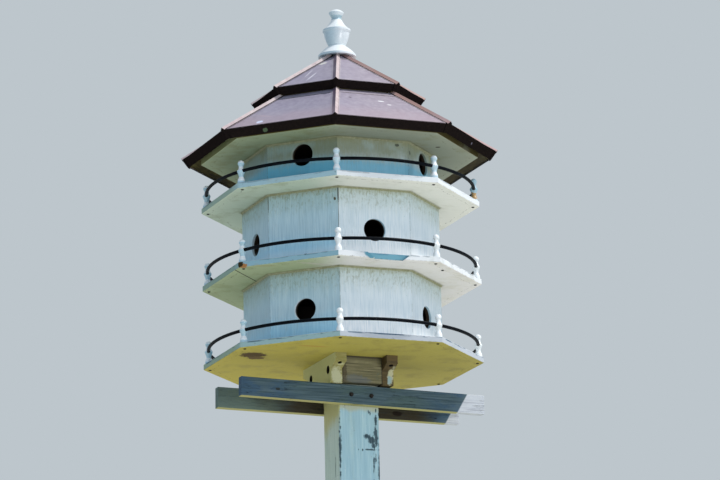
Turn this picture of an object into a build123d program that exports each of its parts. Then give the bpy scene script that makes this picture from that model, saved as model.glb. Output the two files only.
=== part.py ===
from build123d import *
import os
from math import cos, radians, sin, sqrt, tan

# Octagonal three-storey bird house on a square post, in millimetres.
# The origin is the centre of the post's foot at ground level. +Z is up.
# -Y is the side with the longer view of the post, and one flat side of each octagon faces it.

# Ground and post
lower_deck_level = 3200.0
post_width = 102.0
post_edge_chamfer = 2.5
house_offset = 42.0

# Decks: lower, middle and upper floors with their balcony edge
deck_across_flats = 624.0
deck_thickness = 14.0
deck_edge_round = 1.5
lower_room_height = 180.0
middle_room_height = 180.0
upper_room_height = 109.0
edge_notch_top_width = 111.0
edge_notch_bottom_width = 74.0
edge_notch_depth = 9.0

# Walls: eight mitred boards a storey
wall_across_flats = 442.0
wall_thickness = 14.0
entry_hole_diameter = 54.0
lower_entry_height = 83.0
middle_entry_height = 78.5
upper_entry_height = 74.0
entry_hole_round = 1.5
mitre_gap = 0.3

# Balcony: turned balusters near the deck corners and a round hoop through them
baluster_corner_inset = 12.7064
rail_diameter = 8.0
rail_height = 30.5
rail_hole_clearance = 0.3
baluster_height = 57.0
baluster_foot_radius = 9.0
baluster_foot_height = 5.0
baluster_waist_radius = 5.5
baluster_waist_height = 16.0
baluster_bulb_radius = 9.7
baluster_neck_radius = 5.5
baluster_ball_radius = 8.0

# Roof: a wide lower skirt and a small peaked cap, sheet metal folded over boards
roof_base_thickness = 16.0
roof_slope = 33.5
lower_eave_across_flats = 704.0
lower_board_thickness = 19.0
lower_fold_lip = 3.0
lower_board_top_across_flats = 240.0
upper_eave_across_flats = 386.0
upper_board_thickness = 16.5
upper_fold_lip = 4.0
upper_lip_hip_gap = 1.5
peak_across_flats = 40.0
sheet_thickness = 1.5
hip_cap_width = 15.0
hip_cap_thickness = 2.2
hip_ridge_height = 6.4
hip_ridge_clearance = 0.6
spacer_width = 16.0
spacer_inset = 18.5

# Finial: heights are above the edge of its flange
finial_flange_radius = 46.5
finial_seat_radius = 35.0
finial_lip_height = 5.0
finial_stem_radius = 8.0
finial_stem_length = 30.0
finial_skirt_bulge = 1.5
finial_foot_radius = 20.5
finial_foot_height = 28.5
finial_bowl_bulge = 1.5
finial_bowl_radius = 31.5
finial_bowl_height = 62.0
finial_rim_radius = 34.5
finial_rim_thickness = 4.0
finial_cone_hollow = 3.5
finial_neck_radius = 11.5
finial_neck_height = 101.0
finial_cap_radius = 18.3
finial_cap_height = 112.5
finial_cap_edge = 2.0
finial_height = 123.0

# Mount: cleats and fillers round the post's head, and two beams bolted across it
cleat_length = 218.0
cleat_thickness = 28.0
cleat_height = 67.5
cleat_lip_height = 20.0
cleat_slant_drop = 12.0
cleat_step = 30.0
cleat_hole_diameter = 20.0
cleat_hole_depth = 16.0
cleat_hole_spacing = 115.0
cleat_hole_drop = 33.0
screw_seat_diameter = 10.0
screw_seat_inset = 8.5
screw_seat_depth = 14.0
filler_height = 64.0
beam_length = 621.0
beam_thickness = 19.0
beam_gap = 0.5
beam_edge_round = 1.5
front_beam_height = 46.5
front_beam_shift = 6.5
front_beam_tilt = 1.15
rear_beam_height = 50.5
rear_beam_shift = -9.0
rear_beam_tilt = 0.7
seat_clearance = 0.3

# Levels and shared shapes that follow from the sizes above
HALF_SIDE_ANGLE = 22.5
SIDE_ANGLE = 45.0
SIDES = ["front", "front_right", "right", "back_right", "back", "back_left", "left", "front_left"]
deck_underside = lower_deck_level - deck_thickness
middle_deck_level = lower_deck_level + lower_room_height + deck_thickness
upper_deck_level = middle_deck_level + middle_room_height + deck_thickness
roof_base_level = upper_deck_level + upper_room_height
roof_base_top = roof_base_level + roof_base_thickness
slope_sin = sin(radians(roof_slope))
slope_cos = cos(radians(roof_slope))
slope_tan = tan(radians(roof_slope))
corner_ratio = 1 / cos(radians(HALF_SIDE_ANGLE))
corner_ring_radius = deck_across_flats / 2 * corner_ratio - baluster_corner_inset
hip_tan = slope_tan / corner_ratio
hip_cos = 1 / sqrt(1 + hip_tan ** 2)
spacer_thickness = hip_ridge_height + hip_ridge_clearance
cleat_bottom = deck_underside - cleat_height
cleat_outer = post_width / 2 + seat_clearance + cleat_thickness
lower_fold = sheet_thickness + lower_board_thickness
upper_fold = sheet_thickness + upper_board_thickness
lower_overhang = (lower_eave_across_flats - deck_across_flats) / 2
lower_eave_level = roof_base_top + seat_clearance + lower_fold / slope_cos - lower_overhang * slope_tan
house = Location((0, house_offset, 0))


def octagon(across_flats):
    """Regular octagon with flat sides facing the X and Y axes."""
    return RegularPolygon(across_flats / 2, 8, major_radius=False, rotation=HALF_SIDE_ANGLE)


def at_side(number, shape):
    """Turn a shape made for the -Y side onto another side of the house."""
    return house * Rotation(0, 0, number * SIDE_ANGLE) * shape


def at_corner(number, shape):
    """Turn a shape made on the -Y axis onto a corner of the house."""
    return house * Rotation(0, 0, HALF_SIDE_ANGLE + number * SIDE_ANGLE) * shape


def octagon_slab(across_flats, thickness, bottom_level):
    """Flat octagonal board with its outer edges eased."""
    slab = extrude(octagon(across_flats), thickness)
    slab = fillet(slab.edges(), deck_edge_round)
    return house * Location((0, 0, bottom_level)) * slab


def edge_notch(bottom_level):
    """Shallow cut with slanting ends in the middle of a deck's -Y edge."""
    low = edge_notch_bottom_width / 2
    high = edge_notch_top_width / 2
    outline = Polyline((-low, 0), (low, 0), (high, deck_thickness), (-high, deck_thickness), close=True)
    cutter = extrude(Plane.XZ * make_face(outline), deck_edge_round + edge_notch_depth, both=True)
    depth_position = -deck_across_flats / 2 - deck_edge_round
    return house * Location((0, depth_position, bottom_level)) * cutter


def wall_board(height, entry_height=None):
    """One wall board for the -Y side, mitred to meet its neighbours, standing on z = 0."""
    outer = wall_across_flats / 2
    inner = outer - wall_thickness
    half_outer = outer * tan(radians(HALF_SIDE_ANGLE)) - mitre_gap / 2
    half_inner = inner * tan(radians(HALF_SIDE_ANGLE)) - mitre_gap / 2
    corners = [(-half_outer, -outer), (half_outer, -outer), (half_inner, -inner), (-half_inner, -inner)]
    board = extrude(make_face(Polyline(*corners, close=True)), height)
    if entry_height:
        middle = Location((0, -outer + wall_thickness / 2, entry_height))
        drill = middle * Rotation(90, 0, 0) * Cylinder(entry_hole_diameter / 2, wall_thickness * 2)
        board -= drill
        rim = board.edges().filter_by(GeomType.CIRCLE).sort_by(Axis.Y)[0]
        board = fillet(rim, entry_hole_round)
    return board


def turned(outline):
    """Solid of revolution about Z from an outline of (radius, height) curves."""
    return revolve(Plane.XZ * make_face(outline), Axis.Z)


def baluster():
    """Turned baluster standing on z = 0: foot, waist, bulb, neck and ball, drilled for the hoop."""
    ball_centre = baluster_height - baluster_ball_radius
    neck_height = ball_centre - sqrt(baluster_ball_radius ** 2 - baluster_neck_radius ** 2)
    neck = (baluster_neck_radius, neck_height)
    foot = Polyline((0, 0), (baluster_foot_radius, 0), (baluster_foot_radius, baluster_foot_height))
    stem = Spline(
        (baluster_foot_radius, baluster_foot_height),
        (baluster_waist_radius, baluster_waist_height),
        (baluster_bulb_radius, rail_height),
        neck,
        tangents=[(0, 1), (0, 1)],
    )
    ball = ThreePointArc(neck, (baluster_ball_radius, ball_centre), (0, baluster_height))
    axis = Line((0, baluster_height), (0, 0))
    return turned(foot + stem + ball + axis)


def hoop(radius):
    """Round bar bent to a full circle on the balusters' ring, at rail height above z = 0."""
    return Location((0, 0, rail_height)) * Torus(corner_ring_radius, radius)


def balusters_on(deck_level):
    """Eight balusters on one deck, each drilled for the hoop."""
    bore = hoop(rail_diameter / 2 + rail_hole_clearance)
    post = Location((0, -corner_ring_radius, 0)) * baluster()
    drilled = post - Rotation(0, 0, -HALF_SIDE_ANGLE) * bore
    level = Location((0, 0, deck_level))
    return [level * at_corner(number, drilled) for number in range(8)]


def roof_point(eave_across_flats, eave_level, uphill, depth):
    """Point of a roof's section: a distance up the slope from the eave, and a depth below the sheet."""
    out = eave_across_flats / 2 - uphill * slope_cos - depth * slope_sin
    return (out, eave_level + uphill * slope_sin - depth * slope_cos)


def sector(hip_gap):
    """Wedge that one side of a roof fills, less half the gap at each hip."""
    reach = lower_eave_across_flats
    half_width = reach * tan(radians(HALF_SIDE_ANGLE))
    setback = hip_gap / 2 / sin(radians(HALF_SIDE_ANGLE))
    corners = [(0, -setback), (half_width, -reach - setback), (-half_width, -reach - setback)]
    outline = Polyline(*corners, close=True)
    return Location((0, 0, lower_deck_level)) * extrude(make_face(outline), lower_deck_level)


def roof_slab(points):
    """Extrude a roof section (distance out, level) sideways, for the -Y side."""
    section = make_face(Polyline(*[(-out, level) for out, level in points], close=True))
    turned_section = Plane.YZ * section
    return extrude(turned_section, lower_eave_across_flats / 2, both=True)


def slope_length(low_across_flats, high_across_flats):
    """Distance along the slope between two octagons of a roof."""
    return (low_across_flats - high_across_flats) / 2 / slope_cos


def roof_sides(points):
    """Eight mitred pieces with one roof section."""
    side = roof_slab(points) & sector(mitre_gap)
    return [at_side(number, side) for number in range(8)]


def boards(eave, level, length, fold_depth):
    """Roof boards: they lie under the sheet and behind its folded edge."""
    corners = [
        roof_point(eave, level, sheet_thickness, sheet_thickness),
        roof_point(eave, level, sheet_thickness, fold_depth),
        roof_point(eave, level, length, fold_depth),
        roof_point(eave, level, length, sheet_thickness),
    ]
    return roof_sides(corners)


def folded_section(eave, level, length, fold_depth, lift, thickness):
    """Section of sheet metal that runs down the slope and folds over the eave."""
    outer = -lift
    inner = thickness - lift
    return [
        roof_point(eave, level, length, outer),
        roof_point(eave, level, outer, outer),
        roof_point(eave, level, outer, fold_depth),
        roof_point(eave, level, inner, fold_depth),
        roof_point(eave, level, inner, inner),
        roof_point(eave, level, length, inner),
    ]


def lipped_sheets(eave, level, length, fold_depth, lip):
    """Folded sheets whose folds hang below the boards between the hips, clear of the hip caps under them."""
    section = folded_section(eave, level, length, fold_depth, 0, sheet_thickness)
    lip_corners = [
        roof_point(eave, level, 0, fold_depth - sheet_thickness),
        roof_point(eave, level, sheet_thickness, fold_depth - sheet_thickness),
        roof_point(eave, level, sheet_thickness, fold_depth + lip),
        roof_point(eave, level, 0, fold_depth + lip),
    ]
    sheet = roof_slab(section) & sector(mitre_gap)
    sheet += roof_slab(lip_corners) & sector(hip_cap_width + 2 * upper_lip_hip_gap)
    return [at_side(number, sheet) for number in range(8)]


def hip_ridge(eave, level, length):
    """Raised middle of a hip's cover strip, for the -Y corner: a low triangle that runs up the hip line."""
    half_width = hip_cap_width / 2
    fall = half_width * hip_tan * hip_cos * tan(radians(HALF_SIDE_ANGLE))
    base = hip_cap_thickness / 2
    triangle = Polyline(
        (-half_width, base - fall),
        (0, base),
        (half_width, base - fall),
        (0, hip_ridge_height),
        close=True,
    )
    downhill = Vector(0, -1, -hip_tan).normalized()
    eave_corner = Vector(0, -eave / 2 * corner_ratio, level)
    section_plane = Plane(eave_corner + downhill * hip_cap_thickness, x_dir=(1, 0, 0), z_dir=downhill)
    hip_length = length * slope_cos * corner_ratio / hip_cos
    return extrude(section_plane * make_face(triangle), -hip_length)


def hip_caps(eave, level, length, fold_depth):
    """Ridged cover strips along the eight hips, folded down over the eave's corners."""
    section = folded_section(eave, level, length, fold_depth, hip_cap_thickness, hip_cap_thickness)
    slab = Rotation(0, 0, HALF_SIDE_ANGLE) * roof_slab(section)
    to_one_side = (Align.MIN, Align.MAX, Align.MIN)
    strip = Box(hip_cap_width / 2, lower_eave_across_flats, lower_deck_level, align=to_one_side)
    half = slab & Location((0, 0, lower_deck_level)) * strip
    cap = half + mirror(half, Plane.YZ) + hip_ridge(eave, level, length)
    return [at_corner(number, cap) for number in range(8)]


def finial(flange_level):
    """Turned urn finial: a hollow flange sits over the peak, its stem goes down between the boards."""
    cone_top = (finial_seat_radius - finial_stem_radius) * hip_tan
    rim_base = finial_bowl_height + finial_rim_thickness
    shoulder = rim_base + finial_rim_thickness
    cap_edge = finial_cap_height + finial_cap_edge
    underside = Polyline(
        (0, -finial_stem_length),
        (finial_stem_radius, -finial_stem_length),
        (finial_stem_radius, cone_top),
        (finial_seat_radius, 0),
        (finial_flange_radius, 0),
        (finial_flange_radius, finial_lip_height),
    )
    foot = (finial_foot_radius, finial_foot_height)
    skirt = SagittaArc((finial_flange_radius, finial_lip_height), foot, -finial_skirt_bulge)
    bowl = SagittaArc(foot, (finial_bowl_radius, finial_bowl_height), -finial_bowl_bulge)
    rim = Polyline(
        (finial_bowl_radius, finial_bowl_height),
        (finial_rim_radius, rim_base),
        (finial_rim_radius, shoulder),
    )
    neck = (finial_neck_radius, finial_neck_height)
    cone = SagittaArc((finial_rim_radius, shoulder), neck, finial_cone_hollow)
    cap_under = Polyline(neck, (finial_cap_radius, finial_cap_height), (finial_cap_radius, cap_edge))
    cap_top = TangentArc((0, finial_height), (finial_cap_radius, cap_edge), tangent=(1, 0))
    axis = Line((0, finial_height), (0, -finial_stem_length))
    solid = turned(underside + skirt + bowl + rim + cone + cap_under + cap_top + axis)
    return house * Location((0, 0, flange_level)) * solid


def cleat(side):
    """Board along the post's left (-1) or right (+1) face, stepped at both ends, with screw seats."""
    tip = cleat_length / 2
    foot = tip - cleat_step
    slant_bottom = -cleat_lip_height - cleat_slant_drop
    half = [
        (0, 0),
        (tip, 0),
        (tip, -cleat_lip_height),
        (foot, slant_bottom),
        (foot, -cleat_height),
        (0, -cleat_height),
    ]
    face = make_face(Polyline(*half, close=True))
    profile = face + mirror(face, Plane.YZ)
    board = extrude(Plane.YZ * profile, cleat_thickness / 2, both=True)
    bottom_of_hole = side * (cleat_thickness / 2 - cleat_hole_depth / 2)
    for y in (-cleat_hole_spacing / 2, cleat_hole_spacing / 2):
        seat = Location((bottom_of_hole, y, -cleat_hole_drop)) * Rotation(0, 90, 0)
        board -= seat * Cylinder(cleat_hole_diameter / 2, cleat_hole_depth)
    slant_angle = Vector(cleat_step, cleat_slant_drop).get_angle(Vector(1, 0))
    seat_drop = cleat_lip_height + screw_seat_inset * cleat_slant_drop / cleat_step
    for end in (-1, 1):
        middle = (0, end * (tip - screw_seat_inset), -seat_drop)
        seat = Location(middle) * Rotation(end * slant_angle, 0, 0)
        board -= seat * Cylinder(screw_seat_diameter / 2, screw_seat_depth * 2)
    x = side * (post_width / 2 + seat_clearance + cleat_thickness / 2)
    return Location((x, 0, deck_underside)) * board


def filler(side):
    """Board between the cleats, on the post's front (-1) or rear (+1) face, flush with their steps."""
    width = post_width
    thickness = cleat_length / 2 - cleat_step - post_width / 2 - seat_clearance
    y = side * (post_width / 2 + seat_clearance + thickness / 2)
    return Location((0, y, deck_underside - filler_height / 2)) * Box(width, thickness, filler_height)


def crossbeam(side, height, shift, tilt):
    """Perch beam across the post's front (-1) or rear (+1) face, off level, just clear of the cleats."""
    beam = Box(beam_length, beam_thickness, height)
    beam = fillet(beam.edges(), beam_edge_round)
    y = side * (post_width / 2 + seat_clearance + beam_thickness / 2)
    rise_at_cleat = (cleat_outer + abs(shift)) * tan(radians(tilt))
    level = cleat_bottom - beam_gap - rise_at_cleat - height / 2
    return Location((shift, y, level)) * Rotation(0, tilt, 0) * beam


def post():
    """Square post from the ground to the underside of the lower deck."""
    shaft = Box(post_width, post_width, deck_underside, align=(Align.CENTER, Align.CENTER, Align.MIN))
    return chamfer(shaft.edges().filter_by(Axis.Z), post_edge_chamfer)


def save(name, pieces):
    """Write one node: a single solid, or like solids that don't touch."""
    solids = pieces if isinstance(pieces, list) else [pieces]
    bodies = [body for piece in solids for body in piece.solids()]
    shape = bodies[0] if len(bodies) == 1 else Compound(children=bodies)
    export_step(shape, f"parts/{name}.step")


os.makedirs("parts", exist_ok=True)

save("post", post())
save("left_cleat", cleat(-1))
save("right_cleat", cleat(1))
save("front_filler", filler(-1))
save("rear_filler", filler(1))
save("front_crossbeam", crossbeam(-1, front_beam_height, front_beam_shift, front_beam_tilt))
save("rear_crossbeam", crossbeam(1, rear_beam_height, rear_beam_shift, rear_beam_tilt))

save("lower_deck", octagon_slab(deck_across_flats, deck_thickness, deck_underside))
middle_deck = octagon_slab(deck_across_flats, deck_thickness, middle_deck_level - deck_thickness)
save("middle_deck", middle_deck - edge_notch(middle_deck_level - deck_thickness))
save("upper_deck", octagon_slab(deck_across_flats, deck_thickness, upper_deck_level - deck_thickness))
save("roof_base", octagon_slab(deck_across_flats, roof_base_thickness, roof_base_level))

# Entry holes are on the straight sides of the middle storey and on the diagonal sides of the others.
storeys = [
    ("lower", lower_deck_level, lower_room_height, lower_entry_height, 1),
    ("middle", middle_deck_level, middle_room_height, middle_entry_height, 0),
    ("upper", upper_deck_level, upper_room_height, upper_entry_height, 1),
]
for storey, level, room_height, entry_height, first_entry in storeys:
    raise_to = Location((0, 0, level))
    plain = raise_to * wall_board(room_height)
    entry = raise_to * wall_board(room_height, entry_height)
    entry_sides = range(first_entry, 8, 2)
    plain_sides = range(1 - first_entry, 8, 2)
    for number in entry_sides:
        save(f"{storey}_entry_wall_{SIDES[number]}", at_side(number, entry))
    save(f"{storey}_plain_walls", [at_side(number, plain) for number in plain_sides])
    save(f"{storey}_balusters", balusters_on(level))
    save(f"{storey}_rail", house * raise_to * hoop(rail_diameter / 2))

# Lower roof: boards, folded sheets and hip caps.
lower_slope = slope_length(lower_eave_across_flats, lower_board_top_across_flats)
lower_fold_end = lower_fold + lower_fold_lip
lower_sheet = folded_section(
    lower_eave_across_flats, lower_eave_level, lower_slope, lower_fold_end, 0, sheet_thickness
)
spacer_outer = upper_eave_across_flats - 2 * spacer_inset
lower_cap_length = slope_length(lower_eave_across_flats, spacer_outer) - seat_clearance
save("lower_roof_boards", boards(lower_eave_across_flats, lower_eave_level, lower_slope, lower_fold))
save("lower_roof_sheets", roof_sides(lower_sheet))
save("lower_hip_caps", hip_caps(lower_eave_across_flats, lower_eave_level, lower_cap_length, lower_fold_end))

# Spacers lie on the lower sheets and carry the upper boards.
spacer_start = slope_length(lower_eave_across_flats, spacer_outer)
spacer = [
    roof_point(lower_eave_across_flats, lower_eave_level, spacer_start, 0),
    roof_point(lower_eave_across_flats, lower_eave_level, spacer_start, -spacer_thickness),
    roof_point(lower_eave_across_flats, lower_eave_level, spacer_start + spacer_width, -spacer_thickness),
    roof_point(lower_eave_across_flats, lower_eave_level, spacer_start + spacer_width, 0),
]
save("upper_roof_spacers", roof_sides(spacer))

# Upper roof: its level follows from the spacers under it.
eave_rise = (lower_eave_across_flats - upper_eave_across_flats) / 2 * slope_tan
upper_eave_level = lower_eave_level + eave_rise + (spacer_thickness + upper_fold) / slope_cos
upper_slope = slope_length(upper_eave_across_flats, peak_across_flats)
upper_sheets = lipped_sheets(
    upper_eave_across_flats, upper_eave_level, upper_slope, upper_fold, upper_fold_lip
)
save("upper_roof_boards", boards(upper_eave_across_flats, upper_eave_level, upper_slope, upper_fold))
save("upper_roof_sheets", upper_sheets)
save("upper_hip_caps", hip_caps(upper_eave_across_flats, upper_eave_level, upper_slope, upper_fold))

# The finial's flange rests over the ridges of the upper hip caps, at its seat radius.
flange_rise = (upper_eave_across_flats / 2 * corner_ratio - finial_seat_radius) * hip_tan
ridge_rise = hip_ridge_height / hip_cos + seat_clearance
save("finial", finial(upper_eave_level + flange_rise + ridge_rise))
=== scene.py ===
"""Finish of an octagonal dovecote on a post: paint, weathering, fixings and the small trim that the solids
leave out."""
import math
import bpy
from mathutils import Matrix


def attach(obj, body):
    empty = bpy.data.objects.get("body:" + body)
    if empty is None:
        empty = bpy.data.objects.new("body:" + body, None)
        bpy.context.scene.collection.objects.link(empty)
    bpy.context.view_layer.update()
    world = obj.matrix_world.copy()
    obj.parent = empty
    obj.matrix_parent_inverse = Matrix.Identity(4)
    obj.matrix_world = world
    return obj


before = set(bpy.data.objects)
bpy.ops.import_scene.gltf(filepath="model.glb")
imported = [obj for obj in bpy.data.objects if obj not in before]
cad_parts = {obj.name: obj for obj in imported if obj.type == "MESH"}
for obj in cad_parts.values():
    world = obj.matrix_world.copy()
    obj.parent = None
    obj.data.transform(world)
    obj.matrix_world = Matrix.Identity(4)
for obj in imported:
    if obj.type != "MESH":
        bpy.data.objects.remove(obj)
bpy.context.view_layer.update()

from types import SimpleNamespace

import bpy
import numpy as np
from mathutils import Vector

# Sizes in millimetres, in the row frame: origin at the post's foot, +Z up, -Y the front.
AXIS_Y = 42.0
HALF_SIDE = math.radians(22.5)
SIDE_TURN = 2 * HALF_SIDE
POST_HALF = 51.0
DECK_APOTHEM = 312.0
WALL_APOTHEM = 221.0
WALL_INNER = 207.0
LOWEST_UNDERSIDE = 3186.0
LOWER_DECK = 3200.0
STOREY = 194.0
MIDDLE_DECK = LOWER_DECK + STOREY
UPPER_DECK = MIDDLE_DECK + STOREY
ROOM_HEIGHTS = (180.0, 180.0, 109.0)
CEILING = UPPER_DECK + ROOM_HEIGHTS[2]
ROOF_SLOPE = math.radians(33.5)
# Roofs: eave apothem, eave level, apothem where the facet ends or goes under the next one.
LOWER_ROOF = (352.0, 3711.45, 196.0)
UPPER_ROOF = (193.0, 3846.64, 45.0)
# Cleats: screw recess in the outer face and seat bored square to the slanted step, on the quarter +X +Y.
RECESS = (70.0, 57.5, 3153.0)
RECESS_RADIUS = 10.0
RECESS_FLOOR = 63.4
CLEAT_FACE = 79.3
SEAT = (65.3, 100.5, 3162.6)
SEAT_RADIUS = 5.0
STEP_SLANT = (0.0, 0.928, 0.371)

# Camera: where the photograph was taken from, as a turn about the axis and a distance from it.
CAMERA_TURN = math.radians(21.3245)
CAMERA_DISTANCE = 10234.3
CAMERA_BELOW_DECK = 2240.3
CAMERA_YAW = math.radians(0.257)
CAMERA_PITCH = math.radians(13.937)
CAMERA_ROLL = math.radians(-1.279)
CAMERA_LENS = 217.39

# Light: the direction towards the sun, and the same kept level. The side fill's places are in metres.
SUNWARD = (0.48, -0.25, 0.84)
SUNWARD_LEVEL = (0.89, -0.46, 0.0)
SUN_STRENGTH = 2.9
SIDE_FILL_PLACE = (2.2, -7.2, 2.4)
SIDE_FILL_AIM = (0, 0.04, 3.5)
SIDE_FILL_POWER = 165
SOFT_LIGHT = 0.56
FLOOR_HALF = 14


def placed(name, data):
    """New object with this data, in the scene."""
    made = bpy.data.objects.new(name, data)
    bpy.context.scene.collection.objects.link(made)
    return made


def photo_camera():
    """Camera at the photograph's viewing angle, below the decks and looking up at them."""
    right = np.array([math.cos(CAMERA_TURN), -math.sin(CAMERA_TURN), 0.0])
    away = np.array([math.sin(CAMERA_TURN), math.cos(CAMERA_TURN), 0.0])
    up = np.array([0.0, 0.0, 1.0])
    level_forward = math.sin(CAMERA_YAW) * right + math.cos(CAMERA_YAW) * away
    forward = math.cos(CAMERA_PITCH) * level_forward + math.sin(CAMERA_PITCH) * up
    level_right = math.cos(CAMERA_YAW) * right - math.sin(CAMERA_YAW) * away
    level_up = np.cross(level_right, forward)
    matrix = np.eye(4)
    matrix[:3, 0] = math.cos(CAMERA_ROLL) * level_right + math.sin(CAMERA_ROLL) * level_up
    matrix[:3, 1] = math.cos(CAMERA_ROLL) * level_up - math.sin(CAMERA_ROLL) * level_right
    matrix[:3, 2] = -forward
    eye = np.array([0.0, AXIS_Y, LOWER_DECK - CAMERA_BELOW_DECK]) - CAMERA_DISTANCE * away
    matrix[:3, 3] = eye / 1000
    data = bpy.data.cameras.new("photo_camera")
    data.sensor_width = 36.0
    data.lens = CAMERA_LENS
    data.clip_end = 100.0
    camera = placed("photo_camera", data)
    camera.matrix_world = matrix.T.tolist()
    bpy.context.scene.camera = camera


def lamp(name, kind, energy, towards):
    """New lamp that shines on the object from the direction of the vector towards."""
    data = bpy.data.lights.new(name, kind)
    data.energy = energy
    made = placed(name, data)
    made.rotation_euler = Vector(towards).to_track_quat("Z", "Y").to_euler()
    return made


def linear(colour):
    """sRGB hex colour to the linear RGBA that the shaders take."""
    channels = np.array([int(colour[i:i + 2], 16) for i in (1, 3, 5)]) / 255
    low = channels / 12.92
    high = ((channels + 0.055) / 1.055) ** 2.4
    return (*np.where(channels <= 0.04045, low, high).tolist(), 1.0)


def feed(tree, node, sockets):
    """Give a node's inputs values, hex colours, outputs, or nodes whose first enabled output is meant."""
    for key, value in sockets.items():
        if isinstance(value, bpy.types.Node):
            value = next(output for output in value.outputs if output.enabled)
        if isinstance(value, bpy.types.NodeSocket):
            tree.links.new(value, node.inputs[key])
        elif isinstance(value, str):
            node.inputs[key].default_value = linear(value)
        else:
            node.inputs[key].default_value = value


def add(tree, kind, sockets=None, **settings):
    """Add a shader node, set it up and feed its inputs."""
    made = tree.nodes.new("ShaderNode" + kind)
    for name, value in settings.items():
        setattr(made, name, value)
    feed(tree, made, sockets or {})
    return made


def maths(tree, operation, *values):
    """Maths on numbers."""
    return add(tree, "Math", dict(enumerate(values)), operation=operation)


def vectors(tree, operation, *values):
    """Maths on vectors."""
    return add(tree, "VectorMath", dict(enumerate(values)), operation=operation)


def parts(tree, vector):
    """X, Y and Z of a vector."""
    return add(tree, "SeparateXYZ", {0: vector}).outputs


def ramp(tree, value, stops):
    """Colour that follows a value through stops of (place, colour)."""
    made = add(tree, "ValToRGB", {0: value})
    elements = made.color_ramp.elements
    while len(elements) < len(stops):
        elements.new(1.0)
    for element, (place, colour) in zip(elements, stops):
        element.position = place
        element.color = linear(colour)
    return made


def new_finish(name, roughness, specular=0.5, metallic=0.0, coat=0.0):
    """Start a material and return it with its node tree."""
    material = bpy.data.materials.new(name)
    material.use_nodes = True
    tree = material.node_tree
    feed(tree, tree.nodes["Principled BSDF"], {"Roughness": roughness, "Specular IOR Level": specular,
                                               "Metallic": metallic, "Coat Weight": coat})
    return material, tree


def object_place(tree):
    """Object coordinates, in metres."""
    return add(tree, "TexCoord").outputs["Object"]


def octagon_frame(tree):
    """Octagon coordinates in metres: out is the distance from the axis square to the nearest side, along the
    distance from that side's middle and corner what is left to its corner. The angle about the axis is
    wrapped to one side. sunward, a quarter of y taken from x, grows towards the sunny right."""
    place = object_place(tree)
    from_axis = vectors(tree, "SUBTRACT", place, (0.0, AXIS_Y / 1000, 0.0))
    x, y, z = parts(tree, from_axis)
    turn = maths(tree, "ARCTAN2", y, x)
    shifted = maths(tree, "ADD", turn, HALF_SIDE)
    wrapped = maths(tree, "FLOORED_MODULO", shifted, SIDE_TURN)
    angle = maths(tree, "SUBTRACT", wrapped, HALF_SIDE)
    radius = vectors(tree, "LENGTH", add(tree, "CombineXYZ", {0: x, 1: y}))
    cosine = maths(tree, "COSINE", angle)
    sine = maths(tree, "SINE", angle)
    out = maths(tree, "MULTIPLY", radius, cosine)
    along = maths(tree, "MULTIPLY", radius, sine)
    half = maths(tree, "MULTIPLY", out, math.tan(HALF_SIDE))
    from_middle = maths(tree, "ABSOLUTE", along)
    corner = maths(tree, "SUBTRACT", half, from_middle)
    sunward = maths(tree, "MULTIPLY_ADD", y, -0.25, x)
    return SimpleNamespace(place=place, z=z, out=out, along=along, corner=corner, sunward=sunward)


def facing(tree):
    """X, Y and Z of the surface's direction."""
    return parts(tree, add(tree, "NewGeometry").outputs["Normal"])


def lit_side(tree):
    """Mask of the upright sides that face the sun: sharp at the octagon's corners."""
    normal = add(tree, "NewGeometry").outputs["Normal"]
    towards = vectors(tree, "DOT_PRODUCT", normal, SUNWARD_LEVEL)
    return fade(tree, towards, -0.05, 0.35)


def above(tree, z, datum):
    """Height above the same level of each storey, in metres: z less the datum, wrapped to one storey."""
    level = maths(tree, "SUBTRACT", z, datum / 1000)
    return maths(tree, "FLOORED_MODULO", level, STOREY / 1000)


def grain(tree, place, size, detail=4.0, roughness=0.6, distortion=0.0, shift=0.0):
    """Noise whose features measure size = (x, y, z) in millimetres."""
    scaled = add(tree, "Mapping", {"Vector": place, "Location": (shift, shift, shift),
                                   "Scale": tuple(1000 / s for s in size)})
    return add(tree, "TexNoise", {"Vector": scaled, "Scale": 1.0, "Detail": detail, "Roughness": roughness,
                                  "Distortion": distortion})


def fade(tree, value, start, end, top=1.0):
    """Mask that rises smoothly from 0 at start to top at end. With start above end it falls."""
    return add(tree, "MapRange", {0: value, 1: start, 2: end, 4: top}, interpolation_type="SMOOTHSTEP")


def both(tree, *masks):
    """Product of masks: where all of them hold."""
    result = masks[0]
    for mask in masks[1:]:
        result = maths(tree, "MULTIPLY", result, mask)
    return result


def either(tree, one, other):
    """The stronger of two masks."""
    return maths(tree, "MAXIMUM", one, other)


def moved(tree, value, noise, reach):
    """A distance made ragged by noise, by up to half of reach to each side, in metres."""
    wobble = maths(tree, "SUBTRACT", noise, 0.5)
    return maths(tree, "MULTIPLY_ADD", wobble, reach, value)


def line(tree, value, centre, half_width, softness):
    """Mask of a line: 1 where value is within half_width of centre, gone softness further off."""
    offset = maths(tree, "SUBTRACT", value, centre)
    distance = maths(tree, "ABSOLUTE", offset)
    return fade(tree, distance, half_width + softness, half_width)


def patch(tree, place, centre, reach, ragged):
    """Mask of a worn spot: distance from centre in units of reach, both in millimetres, with a noisy edge."""
    offset = vectors(tree, "SUBTRACT", place, tuple(c / 1000 for c in centre))
    scaled = vectors(tree, "MULTIPLY", offset, tuple(1000 / r for r in reach))
    distance = vectors(tree, "LENGTH", scaled)
    return fade(tree, moved(tree, distance, ragged, 1.6), 1.05, 0.9)


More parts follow.
